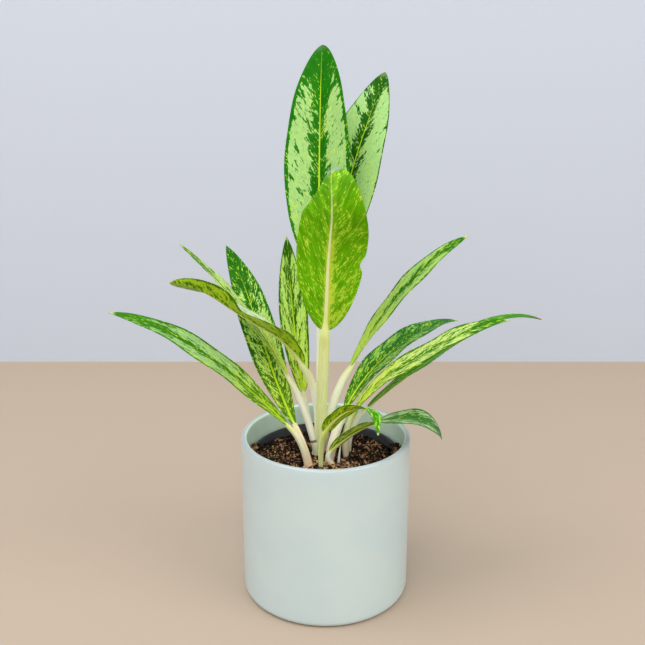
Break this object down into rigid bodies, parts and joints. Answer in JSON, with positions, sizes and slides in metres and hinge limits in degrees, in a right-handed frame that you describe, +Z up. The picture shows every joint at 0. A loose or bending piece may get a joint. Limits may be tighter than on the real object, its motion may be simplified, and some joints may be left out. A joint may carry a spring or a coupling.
{
  "type": "potted chinese evergreen",
  "caption": "Variegated chinese evergreen houseplant with long pointed leaves on cream stalks, growing in a plain straight glazed pot.",
  "frame": {"origin": "centre of the cachepot's flat underside", "axes": "+Z up through the pot, -Y towards the viewer of the plant, +X to that viewer's right"},
  "size_m": [0.3034, 0.126, 0.3986],
  "materials": {
    "mint_glaze": "gloss",
    "black_plastic": "satin",
    "potting_soil": "matte",
    "stem_cream": "satin",
    "leaf_green": "satin"
  },
  "bodies": {
    "root": {"cachepot": "mint_glaze", "nursery_pot": "black_plastic", "soil": "potting_soil", "stems_main": "stem_cream", "stems_left": "stem_cream", "stems_front": "stem_cream", "stems_right": "stem_cream", "leaf_tall_back": "leaf_green", "leaf_back_right": "leaf_green", "leaf_front": "leaf_green", "leaf_inner_left": "leaf_green", "leaf_left_thin": "leaf_green", "leaf_left_olive": "leaf_green", "leaf_upper_right": "leaf_green", "leaf_left_long": "leaf_green", "leaf_far_left": "leaf_green", "leaf_right_dark": "leaf_green", "leaf_small_front": "leaf_green", "leaf_small_right": "leaf_green", "leaf_right_long": "leaf_green", "leaf_far_right": "leaf_green"}
  },
  "joints": []
}
